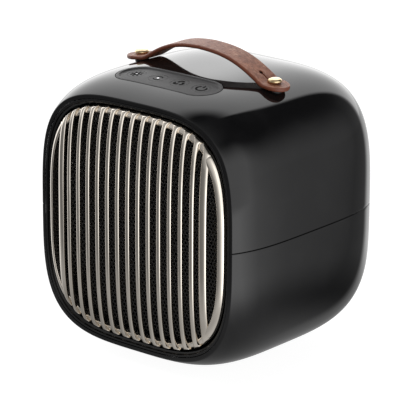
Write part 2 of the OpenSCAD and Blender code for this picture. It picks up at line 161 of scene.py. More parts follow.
class Signal:
    """One socket of a node tree, on which sums can be written."""

    def __init__(self, tree, socket=None):
        self.tree, self.socket = tree, socket

    def node(self, kind, settings=None, out=0, **inputs):
        """Adds a node from its settings and inputs; an input may be named by its place, as i0 or i1."""
        made = self.tree.nodes.new(kind)
        for key, value in (settings or {}).items():
            if key == "stops":
                ramp = made.color_ramp
                while len(ramp.elements) < len(value):
                    ramp.elements.new(0.5)
                for element, (place, colour) in zip(ramp.elements, value):
                    element.position = place
                    element.color = (*colour, 1) if len(colour) == 3 else colour
            else:
                setattr(made, key, value)
        for key, value in inputs.items():
            numbered = key[0] == "i" and key[1:].isdigit()
            socket = made.inputs[int(key[1:])] if numbered else made.inputs[key.replace("_", " ")]
            if isinstance(value, Signal):
                self.tree.links.new(value.socket, socket)
            else:
                socket.default_value = value
        return Signal(self.tree, made.outputs[out])

    def math(self, operation, *others):
        """A Math node whose first input is this value."""
        inputs = {f"i{k}": value for k, value in enumerate((self, *others))}
        return self.node("ShaderNodeMath", {"operation": operation}, **inputs)

    def reflected(self, operation, other):
        """A Math node whose second input is this value, for sums that start with a number."""
        return self.node("ShaderNodeMath", {"operation": operation}, i0=other, i1=self)

    def __add__(self, other):
        return self.math("ADD", other)

    def __sub__(self, other):
        return self.math("SUBTRACT", other)

    def __mul__(self, other):
        return self.math("MULTIPLY", other)

    def __truediv__(self, other):
        return self.math("DIVIDE", other)

    __radd__, __rmul__ = __add__, __mul__

    def __rsub__(self, other):
        return self.reflected("SUBTRACT", other)

    def between(self, low, high):
        """0 below low, 1 above high, and a smooth step between them."""
        return self.node(
            "ShaderNodeMapRange", {"interpolation_type": "SMOOTHSTEP"},
            i0=self, i1=low, i2=high, i3=0.0, i4=1.0,
        )

    def blend(self, first, second):
        """Two colours mixed, with this value as the share of the second."""
        return self.node("ShaderNodeMix", {"data_type": "RGBA"}, out=2, i0=self, i6=first, i7=second)

    def place(self, scale=(1, 1, 1)):
        """Object coordinates, in metres, stretched by scale."""
        at = self.node("ShaderNodeTexCoord", out=3)
        return self.node("ShaderNodeMapping", Vector=at, Scale=scale)

    def noise(self, size, stretch=(1, 1, 1), detail=3.0, roughness=0.5):
        """Soft noise whose grains are about size millimetres, stretched along the axes."""
        scale = tuple(s / (size * MM) for s in stretch)
        return self.node(
            "ShaderNodeTexNoise", {"noise_dimensions": "3D"},
            Vector=self.place(scale), Scale=1.0, Detail=detail, Roughness=roughness,
        )

    def cells(self, size):
        """Distance to the nearest of scattered points about size millimetres apart."""
        scale = (1 / (size * MM),) * 3
        return self.node("ShaderNodeTexVoronoi", Vector=self.place(scale), Scale=1.0)

    def bump(self, depth, strength=1.0):
        """A normal from this height, which is depth millimetres at 1."""
        return self.node("ShaderNodeBump", Strength=strength, Distance=depth * MM, Height=self)


def colour(red, green, blue):
    """A linear colour with full alpha."""
    return (red, green, blue, 1.0)


def new_finish(name, vary=None, **fixed):
    """A Principled material: fixed values on its sockets, and vary(signal) gives what changes over it."""
    material = bpy.data.materials.new(name)
    material.use_nodes = True
    tree = material.node_tree
    shader = tree.nodes["Principled BSDF"]
    for key, value in fixed.items():
        shader.inputs[key.replace("_", " ")].default_value = value
    if vary:
        for key, signal in vary(Signal(tree)).items():
            tree.links.new(signal.socket, shader.inputs[key.replace("_", " ")])
    return material


# %% [markdown]
# The case is moulded in gloss black. A polished mould still leaves a faint waviness, which bends
# reflections a little, and handling leaves a soft haze. Both are far weaker than the gloss, so they only
# tint the roughness and a very shallow bump.

# %% Plastic finishes


def gloss_detail(s):
    """Near-black, with a haze that dulls it in patches and waves tens of millimetres long."""
    haze = s.noise(22, detail=4.0).between(0.45, 0.75)
    grain = s.noise(1.6, detail=2.0)
    waves = s.noise(34, detail=1.0)
    return {
        "Base_Color": haze.blend(colour(0.0045, 0.0045, 0.005), colour(0.0075, 0.0074, 0.008)),
        "Roughness": 0.035 + haze * 0.03 + grain * 0.012,
        "Normal": (waves + grain * 0.03).bump(0.03),
    }


def moulded_detail(s):
    """Spark-eroded black plastic: fine pits and a soft cloud of tone."""
    spark = s.cells(0.55)
    cloud = s.noise(16)
    return {
        "Base_Color": cloud.blend(colour(0.010, 0.010, 0.011), colour(0.020, 0.020, 0.021)),
        "Roughness": 0.42 + cloud * 0.16,
        "Normal": spark.bump(0.05, 0.6),
    }


gloss_black = new_finish("gloss_black", gloss_detail, IOR=1.5)
satin_black = new_finish("satin_black", moulded_detail, IOR=1.45)


def coated_detail(s):
    """Powder-coated wire, dark and slightly uneven."""
    grain = s.noise(0.3, detail=2.0)
    cloud = s.noise(12, detail=3.0)
    return {
        "Base_Color": cloud.blend(colour(0.006, 0.006, 0.006), colour(0.013, 0.012, 0.011)),
        "Roughness": 0.32 + grain * 0.12,
        "Normal": grain.bump(0.01, 0.5),
    }


coated_wire = new_finish("coated_wire", coated_detail, IOR=1.6)

# %% [markdown]
# The grille is plated in a warm, champagne-coloured nickel. Plating over plastic is bright but not a
# mirror: it has fine draw lines along the ribs and patches where the deposit is a little duller.

# %% Metal finishes


def nickel_detail(s):
    """Plating with draw lines that run up the ribs and duller patches."""
    lines = s.noise(0.35, stretch=(1, 1, 0.02), detail=2.0)
    patches = s.noise(9, detail=3.0)
    return {
        "Base_Color": patches.blend(colour(0.78, 0.71, 0.62), colour(0.90, 0.84, 0.76)),
        "Roughness": 0.045 + lines * 0.04 + patches * 0.04,
        "Normal": lines.bump(0.003, 0.4),
    }


def brass_detail(s):
    """Turned brass, tarnished in patches and finely scratched."""
    tarnish = s.noise(2.4, detail=4.0)
    scratches = s.noise(0.25, stretch=(0.1, 1, 1), detail=2.0)
    return {
        "Base_Color": tarnish.between(0.35, 0.75).blend(colour(0.80, 0.64, 0.39), colour(0.56, 0.40, 0.21)),
        "Roughness": 0.06 + tarnish * 0.06 + scratches * 0.04,
        "Normal": scratches.bump(0.003, 0.4),
    }


def steel_detail(s):
    """Zinc-plated steel: spangled, with rolling lines."""
    lines = s.noise(0.5, stretch=(1, 0.1, 1), detail=3.0)
    zinc = s.cells(3.0)
    return {
        "Base_Color": zinc.blend(colour(0.62, 0.62, 0.64), colour(0.42, 0.42, 0.45)),
        "Roughness": 0.26 + lines * 0.16,
        "Normal": lines.bump(0.01, 0.5),
    }


nickel = new_finish("nickel", nickel_detail, Metallic=1.0)
brass = new_finish("brass", brass_detail, Metallic=1.0)
zinc_steel = new_finish("zinc_steel", steel_detail, Metallic=1.0)
fin_aluminium = new_finish("fin_aluminium", steel_detail, Metallic=1.0)

# %% [markdown]
# The panel and keys are coated in a soft-touch lacquer: matt, a little warm, with a very fine tooth. Its
# edge to the gloss case reads by contrast of roughness alone, so the colour is only slightly lighter than
# the case.

# %% Soft finishes


def soft_detail(s):
    """Soft lacquer with a very fine tooth, rubbed paler in places."""
    tooth = s.noise(0.28, detail=2.0)
    wear = s.noise(7, detail=4.0)
    return {
        "Base_Color": wear.blend(colour(0.030, 0.029, 0.030), colour(0.042, 0.041, 0.042)),
        "Roughness": 0.44 + wear * 0.12,
        "Normal": tooth.bump(0.015, 0.5),
    }


def rubber_detail(s):
    """Dull rubber with dust on it."""
    tooth = s.noise(0.4, detail=3.0)
    dust = s.noise(5, detail=4.0).between(0.5, 0.8)
    return {
        "Base_Color": dust.blend(colour(0.012, 0.012, 0.012), colour(0.05, 0.048, 0.045)),
        "Roughness": 0.7 + dust * 0.2,
        "Normal": tooth.bump(0.03, 0.6),
    }


def mark_detail(s):
    """The marks' black plastic, quite matt."""
    wear = s.noise(0.8, detail=3.0)
    return {
        "Base_Color": wear.blend(colour(0.003, 0.003, 0.003), colour(0.006, 0.006, 0.006)),
        "Roughness": 0.75 + wear * 0.2,
    }


def lamp_detail(s):
    """A milky lens with a brighter core."""
    core = s.noise(0.6, detail=1.0)
    return {
        "Base_Color": core.blend(colour(0.75, 0.76, 0.78), colour(0.9, 0.9, 0.9)),
        "Roughness": 0.2 + core * 0.15,
    }


soft_touch = new_finish("soft_touch", soft_detail, IOR=1.42)
foot_rubber = new_finish("foot_rubber", rubber_detail)
mark_black = new_finish("mark_black", mark_detail, Specular_IOR_Level=0.1)
lamp_white = new_finish("lamp_white", lamp_detail, Emission_Color=colour(1, 1, 1), Emission_Strength=0.6)
lamp_grey = new_finish("lamp_grey", lamp_detail, Emission_Color=colour(1, 1, 1), Emission_Strength=0.05)

# %% [markdown]
# Leather is the only natural material here. Its face is a warm tan with pores and slow changes of tone,
# and its cut edges are burnished darker. The strap's mesh carries an attribute that is 1 along the cut
# edges, so the dark band follows the outline wherever the strap bends, and 2 in the keyhole, which is
# painted near-black as the shade inside the hole.

# %% Leather


def leather_detail(s):
    """Tan hide from patchy tone, long fibres, pores and scuffs, burnished darker along the cut edges, with
    painted shade near-black in the keyhole.
    """
    edge = s.node("ShaderNodeAttribute", {"attribute_name": "cut_edge"}, out=2)
    tone = s.noise(9, detail=5.0, roughness=0.6).between(0.3, 0.7)
    pores = s.cells(0.8)
    fibres = s.noise(1.3, stretch=(0.5, 1, 1), detail=5.0, roughness=0.75)
    scuffs = s.noise(2.4, stretch=(0.6, 1, 1), detail=6.0, roughness=0.75).between(0.50, 0.70)
    face = tone.blend(colour(0.215, 0.072, 0.036), colour(0.34, 0.132, 0.070))
    grained = (fibres.between(0.40, 0.66) * 0.75).blend(face, colour(0.12, 0.036, 0.020))
    worn = (scuffs * 0.6).blend(grained, colour(0.55, 0.30, 0.19))
    burnished = edge.between(0.25, 0.85)
    return {
        # Where the attribute is 2, in the keyhole, the leather is painted near-black: painted shade standing in
        # for the depth of the hole.
        "Base_Color": edge.between(1.2, 1.8).blend(
            burnished.blend(worn, colour(0.18, 0.050, 0.024)), colour(0.008, 0.003, 0.002)),
        "Roughness": 0.40 + fibres * 0.22 - burnished * 0.12,
        "Normal": (pores * 0.6 + fibres).bump(0.16, 0.7),
    }


leather = new_finish("leather", leather_detail, IOR=1.5)

# %% [markdown]
# Inside, the pieces are working materials: mica board, glass-fibre circuit board, moulded nylon. They are
# seen only through the slots, so each has one or two layers of detail.

# %% Working materials


def plain_detail(low, high, grain, rough):
    """A detail function for a material of two close colours, grains of a given size and a base roughness."""
    def detail(s):
        """A cloud of tone twelve grains wide over a fine grain."""
        cloud = s.noise(grain * 12, detail=4.0)
        fine = s.noise(grain, detail=2.0)
        return {
            "Base_Color": cloud.blend(colour(*low), colour(*high)),
            "Roughness": rough + fine * 0.15,
            "Normal": fine.bump(0.02, 0.5),
        }
    return detail


mica = new_finish("mica", plain_detail((0.10, 0.085, 0.06), (0.17, 0.15, 0.11), 0.6, 0.5))
circuit_board = new_finish("circuit_board", plain_detail((0.01, 0.09, 0.04), (0.02, 0.14, 0.07), 0.4, 0.3))
switch_plastic = new_finish("switch_plastic", plain_detail((0.02, 0.02, 0.025), (0.04, 0.04, 0.045), 0.5,
                                                           0.35))
pale_plastic = new_finish("pale_plastic", plain_detail((0.55, 0.54, 0.50), (0.66, 0.65, 0.61), 0.5, 0.4))

finishes = {
    "gloss_black": gloss_black, "satin_black": satin_black, "nickel": nickel, "brass": brass,
    "soft_touch": soft_touch, "leather": leather, "zinc_steel": zinc_steel, "mica": mica,
    "fin_aluminium": fin_aluminium, "circuit_board": circuit_board, "switch_plastic": switch_plastic,
    "pale_plastic": pale_plastic, "foot_rubber": foot_rubber,
}
for entry in frame["record"]["subparts"]:
    mesh = nodes[entry["node"]].data
    mesh.materials.clear()
    mesh.materials.append(finishes[entry["material_slot"]])
print("finishes:", len(finishes))

# %% [markdown]
# The case is a superellipse lofted from front to back: each cross-section is |x/a|^p + |z/b|^p = 1, and a
# second exponent shrinks the section towards the flat front and back. Written as a formula, the curvature
# runs smoothly through the corners, which a filleted box can't do, and a gloss surface shows every break
# in curvature.

# %% The shape of the case
upper_high = box_mm("upper_shell")[1]
lower_low = box_mm("lower_shell")[0]
HALF_W = upper_high[0]
HALF_H = (upper_high[2] - lower_low[2]) / 2
MID_Z = (upper_high[2] + lower_low[2]) / 2
CUT_Y = upper_high[1]
HALF_D = 93.0
ACROSS, ALONG, GRILLE = 3.55, 3.75, 3.45
WALL = 2.4


def loft(y):
    """Share of the full section that is left at depth y: (1 - |y/d|^q)^(1/q)."""
    return (1 - (np.abs(y) / HALF_D) ** ALONG) ** (1 / ALONG)


def rim(t, a, b, p=ACROSS):
    """Superellipse point at angle t: the ray at t cut by |x/a|^p + |z/b|^p = 1."""
    c, s = np.cos(t), np.sin(t)
    r = ((np.abs(c) / a) ** p + (np.abs(s) / b) ** p) ** (-1 / p)
    return r * c, r * s


def case_top(x, y):
    """Height of the case's upper surface over the point x, y."""
    left = np.clip(loft(y) ** ACROSS - (np.abs(x) / HALF_W) ** ACROSS, 0, None)
    return MID_Z + HALF_H * left ** (1 / ACROSS)


def rounding(distance, radius):
    """How far a rounded edge has dropped at a distance from its end: r - sqrt(r^2 - (r - d)^2)."""
    short = radius - np.minimum(distance, radius)
    return radius - np.sqrt(np.maximum(radius ** 2 - short ** 2, 0))


print("case:", HALF_W * 2, HALF_H * 2, CUT_Y * 2)

# %% [markdown]
# Each half is one closed skin: an outer grid, an inner grid one wall inside it, and a strip wherever a
# face has no neighbour. The same rule closes the seam, the front and back lips and the holes. A hole is
# made by dropping the faces inside its outline and drawing the points that are left over onto the
# outline, which keeps the gloss surface free of the long thin faces that a Boolean leaves.

# %% The case halves
PANEL_Y = (box_mm("control_panel")[0][1] + box_mm("control_panel")[1][1]) / 2
PANEL_R = 13.8
PANEL_L = 25.7
GROOVE = 0.45
STUD_X = (box_mm("stud_right")[0][0] + box_mm("stud_right")[1][0]) / 2
BOSS_R = 4.5
EDGE_R = 0.45


def pill_hole(x, y, r=PANEL_R + GROOVE):
    """Distance outside the panel's outline, and the nearest point on that outline."""
    mx, my = np.clip(x, -PANEL_L, PANEL_L), np.full_like(y, PANEL_Y)
    dx, dy = x - mx, y - my
    d = np.hypot(dx, dy) + 1e-9
    return d - r, mx + dx / d * r, my + dy / d * r


def boss_hole(side):
    """The same for a stud's boss on the left (-1) or right (+1)."""
    def hole(x, y):
        """Distance outside the boss, and the nearest point on its circle."""
        dx, dy = x - side * STUD_X, y
        d = np.hypot(dx, dy) + 1e-9
        return d - BOSS_R, side * STUD_X + dx / d * BOSS_R, dy / d * BOSS_R
    return hole


def graded(start, stop, count, edge):
    """Evenly spaced values with a few close ones at each end, where the edge is rounded."""
    close = edge * (1 - np.cos(np.linspace(0, math.pi / 2, 6)))[:-1]
    step = (stop - start) / abs(stop - start)
    inner = np.linspace(start + step * edge, stop - step * edge, count)
    return np.concatenate([start + step * close, inner, (stop - step * close)[::-1]])


def skin_faces(keep):
    """Faces of outer and inner grids whose cells are kept, and strips where a kept cell has no neighbour."""
    rows, columns = keep.shape
    outer = grid_faces(rows + 1, columns + 1).reshape(rows, columns, 4)
    total = (rows + 1) * (columns + 1)
    number = np.arange(total).reshape(rows + 1, columns + 1)
    padded = np.pad(keep, 1)
    down = padded[1:, 1:-1] != padded[:-1, 1:-1]
    across = padded[1:-1, 1:] != padded[1:-1, :-1]
    a, b = number[:, :-1][down], number[:, 1:][down]
    c, d = number[:-1, :][across], number[1:, :][across]
    walls = [np.stack([a, b, b + total, a + total], 1), np.stack([c, d, d + total, c + total], 1)]
    return np.concatenate([outer[keep], outer[keep][:, ::-1] + total, *walls])


def case_half(name, sign, holes):
    """Outer and inner superellipse grids for the upper (+1) or lower (-1) half."""
    seam = 0.13
    seam_t = seam / HALF_W
    t = graded(seam_t, math.pi - seam_t, 200, EDGE_R / HALF_W)
    y = graded(-CUT_Y, CUT_Y, 110, EDGE_R)
    tt, yy = np.meshgrid(t, y, indexing="ij")
    from_seam = np.minimum(tt - seam_t, math.pi - seam_t - tt) * HALF_W
    drop = rounding(from_seam, EDGE_R) + rounding(CUT_Y - np.abs(yy), EDGE_R)
    keep = np.ones((len(t) - 1, len(y) - 1), bool)
    x0, _ = rim(tt, HALF_W * loft(yy), HALF_H * loft(yy))
    moved_x, moved_y, touched = x0.copy(), yy.copy(), np.zeros_like(x0, bool)
    for hole in holes:
        distance, hx, hy = hole(x0, yy)
        inside = distance < 0
        keep &= ~(inside[:-1, :-1] & inside[1:, :-1] & inside[1:, 1:] & inside[:-1, 1:])
        moved_x[inside], moved_y[inside] = hx[inside], hy[inside]
        touched |= inside
    layers = []
    for inset in (drop, np.full_like(drop, WALL)):
        x, z = rim(tt, HALF_W * loft(yy) - inset, HALF_H * loft(yy) - inset)
        x = np.where(touched, moved_x, x)
        z = np.where(touched, case_top(moved_x, moved_y) - MID_Z - inset, z)
        layers.append(np.stack([x, np.where(touched, moved_y, yy), MID_Z + sign * z], axis=-1))
    points = np.concatenate([p.reshape(-1, 3) for p in layers])
    return add_piece(name, points, skin_faces(keep), "case", gloss_black, smooth=45)


upper_case = case_half("upper_case", 1, [pill_hole, boss_hole(-1), boss_hole(1)])
lower_case = case_half("lower_case", -1, [])
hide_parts("upper_shell")
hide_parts("lower_shell")

# %% [markdown]
# The ring in the front opening is a profile carried round the superellipse. A thin groove parts it from
# the case, a fine raised lip catches the light, and inside it the ring falls back to the grille.

# %% The bezel
FRONT_W = HALF_W * loft(CUT_Y) - WALL - 0.4
FRONT_H = HALF_H * loft(CUT_Y) - WALL - 0.4


def ring(name, a, b, p, profile, finish, steps=360):
    """Carries a closed profile of (inset, depth) points round a superellipse of half sizes a and b."""
    t = np.linspace(0, 2 * math.pi, steps, endpoint=False)
    inset, depth = np.array(profile, float).T
    tt, ii = np.meshgrid(t, inset, indexing="ij")
    x, z = rim(tt, a - ii, b - ii, p)
    points = np.stack([x, np.broadcast_to(depth, x.shape), MID_Z + z], axis=-1)
    faces = grid_faces(steps, len(profile), True, True)
    return add_piece(name, points, faces, "case", finish, smooth=50)


def arc(x0, y0, r, start, stop, count=7):
    """Points of a circle's arc from angle start to angle stop, in degrees."""
    return [(x0 + r * math.cos(math.radians(a)), y0 + r * math.sin(math.radians(a)))
            for a in np.linspace(start, stop, count)]


front = -CUT_Y
bezel_profile = (
    [(0, front + 9), (0, front + 1.0)]
    + arc(0.45, front + 0.55, 0.45, 180, 270)
    + arc(1.0, front + 0.45, 0.35, 270, 360)
    + [(1.45, front + 1.5), (1.9, front + 2.0)]
    + [(2.7, front + 2.3), (2.7, front + 9)]
)
bezel = ring("bezel_ring", FRONT_W + 0.1, FRONT_H + 0.1, ACROSS, bezel_profile, gloss_black)
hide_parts("front_bezel")

# %% [markdown]
# The ribs stand side by side and follow one dome. Each is a rounded bar whose section is carried up a
# curve, and the outermost two are wider. Above and below they end as fingers on a recessed band that ties
# them together. The fingers' small flare is part of the bar's width formula, and needs no joining of
# meshes.

# %% The grille
RING_W = 2.7
GRILLE_W = FRONT_W - RING_W - 0.4
GRILLE_H = FRONT_H - RING_W - 0.4
RIM_Y = -CUT_Y + 2.7
CROWN = RIM_Y - box_mm("front_grille")[0][1]
DOME = 2.6
RIBS = 15
PITCH = 8.4
RIB_W = 3.2
RIB_DEPTH = 3.3
# The outermost ribs: how much wider, and how far in from the even pitch
OUTER_EXTRA = 1.8
OUTER_SHIFT = 0.6
# The band round the ribs: its widths, how far it lies behind their faces, and its thickness
SIDE_BAND = 4.4
TOP_BAND = 5.0
BAND_SUNK = 2.2
BAND_DEEP = 4.0
# A rib's end: its gap to the outline, the share of the gap between ribs that it flares over and where the flare
# stops, the length that bends to follow the outline, and the length that rolls over
END_GAP = 0.4
FLARE = 0.5
FLARE_FROM_END = 0.8
FOLLOW = 14.0
ROLL_OVER = 1.6


def dome(x, z):
    """Depth of the grille's front: it rises from its rim by crown times (1 - rho^m)^(1/m)."""
    rho = ((np.abs(x) / GRILLE_W) ** GRILLE + (np.abs(z) / GRILLE_H) ** GRILLE) ** (1 / GRILLE)
    return RIM_Y - CROWN * (1 - np.minimum(rho, 1) ** DOME) ** (1 / DOME)


def outline_height(x, inset=0.0):
    """Height of the grille's outline over x, drawn in by inset."""
    inside = 1 - (np.abs(x) / (GRILLE_W - inset)) ** GRILLE
    return (GRILLE_H - inset) * np.maximum(inside, 0) ** (1 / GRILLE)


def rib_points(x0, width):
    """A rounded section swept up the dome. It runs over the recessed rim band as a rounded finger, and at its
    very end it widens along a quarter circle, which gives the grille its scalloped outline."""
    steps, section = 190, 24
    gap_r = (PITCH - RIB_W) / 2
    end = outline_height(x0, END_GAP)
    z = np.sin(np.linspace(-math.pi / 2, math.pi / 2, steps)) * end
    reach = np.clip(1 - (end - FLARE_FROM_END - np.abs(z)) / gap_r, 0, 1)
    half = width / 2 + gap_r * FLARE * (1 - np.sqrt(1 - reach ** 2))
    a = np.linspace(0, 2 * math.pi, section, endpoint=False)
    across = np.sign(np.cos(a)) * np.abs(np.cos(a)) ** 0.85
    outwards = np.sign(np.sin(a)) * np.abs(np.sin(a)) ** 0.85 * RIB_DEPTH * 0.5
    x = x0 + half[:, None] * across[None, :]
    near = np.clip((np.abs(z) - end + FOLLOW) / FOLLOW, 0, 1)[:, None]
    zz = z[:, None] + np.sign(z)[:, None] * near ** 2 * (outline_height(x, END_GAP) - end)
    roll = np.clip(1 - (end - np.abs(z)) / ROLL_OVER, 0, 1)[:, None]
    y = dome(x, zz) + RIB_DEPTH * 0.5 - outwards[None, :] * np.sqrt(1 - 0.85 * roll ** 2)
    return np.stack([x, y, MID_Z + zz], axis=-1)


def closed_bar(rows, columns, first):
    """Faces of a tube of points, with both of its ends filled."""
    sides = [list(f) for f in grid_faces(rows, columns, False, True, first)]
    start = list(range(first, first + columns))
    last = first + (rows - 1) * columns
    return sides + [start, list(range(last, last + columns))[::-1]]


def make_grille():
    """All the ribs as one mesh; the outermost two are wider and stand a little further in."""
    points, faces = [], []
    for k in range(RIBS):
        place = (k - (RIBS - 1) / 2) * PITCH
        outer = k in (0, RIBS - 1)
        shift = math.copysign(OUTER_SHIFT, place) * outer
        bar = rib_points(place - shift, RIB_W + OUTER_EXTRA * outer)
        faces += closed_bar(bar.shape[0], bar.shape[1], sum(len(p) for p in points))
        points.append(bar.reshape(-1, 3))
    return add_piece("grille_ribs", np.concatenate(points), faces, "case", nickel,
                     smooth=60, merge=False)


def make_surround():
    """A rounded band between two superellipses. It stands proud at the sides, and above and below it lies
    under the ends of the ribs."""
    steps, section = 520, 28
    t = np.linspace(0, 2 * math.pi, steps, endpoint=False)
    a = np.linspace(0, 2 * math.pi, section, endpoint=False)
    ox, oz = rim(t, GRILLE_W, GRILLE_H, GRILLE)
    ix, iz = rim(t, GRILLE_W - SIDE_BAND, GRILLE_H - TOP_BAND, GRILLE)
    share = 0.5 - 0.5 * np.sign(np.cos(a)) * np.abs(np.cos(a)) ** 0.8
    x = ox[:, None] * (1 - share) + ix[:, None] * share
    z = oz[:, None] * (1 - share) + iz[:, None] * share
    under = np.clip((PITCH * 7.3 - np.abs(ox)) / 3, 0, 1)[:, None] * BAND_SUNK
    front_y = dome(x, z) + under
    bulge = 1.5 * (1 - np.abs(np.sin(a)) ** 0.7)[None, :]
    y = np.where(np.sin(a)[None, :] > 0, front_y + bulge, np.maximum(front_y, RIM_Y) + BAND_DEEP - bulge)
    points = np.stack([x, y, MID_Z + z], axis=-1)
    faces = grid_faces(steps, section, True, True)
    return add_piece("grille_surround", points, faces, "case", nickel, smooth=60)


ribs = make_grille()
make_surround()
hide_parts("front_grille")

# %% [markdown]
# Behind the ribs a fine mesh keeps fingers off the element. A honeycomb is a lattice of small rings. All
# the rings' corners are worked out in one array, because thousands of separate objects would be slow.

# %% The guard mesh


def make_guard():
    """Each cell is a six-sided ring between an outer and an inner hexagon, on a triangular lattice."""
    cell = 2.6
    low, high = box_mm("guard_mesh")
    columns = int(GRILLE_W / cell) + 1
    j, i = np.mgrid[-40:41, -columns:columns + 1]
    cx = (i + 0.5 * (j % 2)) * cell
    cz = j * cell * math.sin(math.pi / 3)
    rho = (np.abs(cx) / (GRILLE_W - 1)) ** GRILLE + (np.abs(cz) / (GRILLE_H - 1)) ** GRILLE
    cx, cz = cx[rho < 1], cz[rho < 1]
    a = math.radians(30) + np.arange(6) * math.pi / 3
    corners = []
    for radius in (cell / math.sqrt(3), cell / math.sqrt(3) * 0.68):
        for depth in (low[1], high[1]):
            x = cx[:, None] + radius * np.cos(a)
            z = MID_Z + cz[:, None] + radius * np.sin(a)
            corners.append(np.stack([x, np.full_like(x, depth), z], axis=-1))
    points = np.stack(corners, axis=1)
    k = np.arange(6)
    n = (k + 1) % 6
    of, ob, nf, nb = k, 6 + k, 12 + k, 18 + k
    quads = np.concatenate([
        np.stack([k, n, 12 + n, nf], 1),
        np.stack([ob, nb, 18 + n, 6 + n], 1),
        np.stack([nf, 12 + n, 18 + n, nb], 1),
        np.stack([of, ob, 6 + n, n], 1),
    ])
    faces = (quads[None] + (np.arange(len(cx)) * 24)[:, None, None]).reshape(-1, 4)
    return add_piece("guard_honeycomb", points.reshape(-1, 3), faces, "case", coated_wire,
                     smooth=30, merge=False)


guard = make_guard()
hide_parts("guard_mesh")

# %% [markdown]
# The control panel is a soft pill let into the case. It follows the case's crown, so its height is the
# case's own formula plus a small profile: a rounded edge, a flat border, and a shallow dish that holds
# the keys.

# %% The control panel
DISH = 1.0
PANEL_LIFT = 0.12
KEY_R = 6.0
KEY_GAP = 0.12
KEYS = ("heat", "timer", "fan", "power")
KEY_X = {k: (box_mm(f"key_{k}")[0][0] + box_mm(f"key_{k}")[1][0]) / 2 for k in KEYS}


def panel_height(r):
    """Profile over the pill's radius r: dished inside, level at the border, rounded off at the edge."""
    wall = np.clip((r - (PANEL_R - 2.9)) / 1.1, 0, 1)
    level = -DISH * (1 - wall * wall * (3 - 2 * wall))
    return PANEL_LIFT + level - rounding(PANEL_R - r, 0.35)


def make_panel():
    """Columns across the pill, each scaled to the pill's width there, with a round hole for every key."""
    end = np.sin(np.linspace(0, math.pi / 2, 60))
    columns = np.concatenate([
        -PANEL_L - PANEL_R * end[::-1], np.linspace(-PANEL_L, PANEL_L, 190)[1:-1], PANEL_L + PANEL_R * end,
    ])
    rows = np.sin(np.linspace(-math.pi / 2, math.pi / 2, 120))
    x, v = np.meshgrid(columns, rows, indexing="ij")
    beyond = np.maximum(np.abs(x) - PANEL_L, 0)
    y = PANEL_Y + v * np.sqrt(np.maximum(PANEL_R ** 2 - beyond ** 2, 0))
    keep = np.ones((x.shape[0] - 1, x.shape[1] - 1), bool)
    for key_x in KEY_X.values():
        dx, dy = x - key_x, y - PANEL_Y
        d = np.hypot(dx, dy) + 1e-9
        inside = d < KEY_R + KEY_GAP
        keep &= ~(inside[:-1, :-1] & inside[1:, :-1] & inside[1:, 1:] & inside[:-1, 1:])
        x = np.where(inside, key_x + dx / d * (KEY_R + KEY_GAP), x)
        y = np.where(inside, PANEL_Y + dy / d * (KEY_R + KEY_GAP), y)
    r = np.hypot(np.maximum(np.abs(x) - PANEL_L, 0), y - PANEL_Y)
    top = case_top(x, y) + panel_height(np.minimum(r, PANEL_R))
    layers = [np.stack([x, y, z], axis=-1).reshape(-1, 3) for z in (top, top - 1.3)]
    return add_piece("control_pill", np.concatenate(layers), skin_faces(keep), "case",
                     soft_touch, smooth=35)


panel = make_panel()
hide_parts("control_panel")

# %% [markdown]
# A key is a soft disc that stands a hair above the dish. Its mark is a small raised shape on top: a sun
# for heat, a lamp for the timer, blades for the fan, and an open ring with a bar for power. Each mark is
# made of strokes, a stroke being a rounded bar laid along a short path, and it rides on the key, so it
# sinks with it.

# %% Keys and marks


def surface_z(x, y):
    """Height of the panel's dished floor over the point x, y."""
    return case_top(x, y) + PANEL_LIFT - DISH


def cap_lift(r):
    """A key's face over its radius: nearly flush at the rim, a fifth of a millimetre hollow in the middle."""
    return 0.02 - 0.2 * (1 - (r / KEY_R) ** 2)


def spun(name, rings, lift, label, finish, steps=96, depth=1.6):
    """Rings round a key's middle, raised by lift over the panel's curved floor and closed below."""
    t = np.linspace(0, 2 * math.pi, steps, endpoint=False)
    x = KEY_X[label] + np.outer(rings, np.cos(t))
    y = PANEL_Y + np.outer(rings, np.sin(t))
    top = np.stack([x, y, surface_z(x, y) + lift[:, None]], axis=-1)
    points = np.concatenate([top, top[-1:] - [0, 0, depth], top[:1] - [0, 0, depth + 0.2]])
    return add_piece(name, points, grid_faces(len(rings) + 2, steps, False, True), f"key_{label}_body",
                     finish, smooth=35)


def make_key(label):
    """The key's cap: its face over rings, rounded off at the rim."""
    edge = 0.4
    rim_steps = np.sin(np.linspace(0.3, math.pi / 2, 5))
    rings = np.concatenate([np.linspace(0, KEY_R - edge, 16), KEY_R - edge + edge * rim_steps])
    lift = cap_lift(rings) - rounding(KEY_R - rings, 0.2)
    piece = spun(f"key_{label}_cap", rings, lift, label, soft_touch)
    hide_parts(f"key_{label}")


def lamp(label, r, finish):
    """A small lens: rings that fall away from its middle as a part of a ball does."""
    rings = r * np.sin(np.linspace(0, math.pi / 2, 8))
    lift = cap_lift(0) + 0.35 * np.sqrt(np.maximum(1 - (rings / r) ** 2, 0))
    spun(f"lamp_{label}", rings, lift, label, finish, steps=32, depth=0.3)


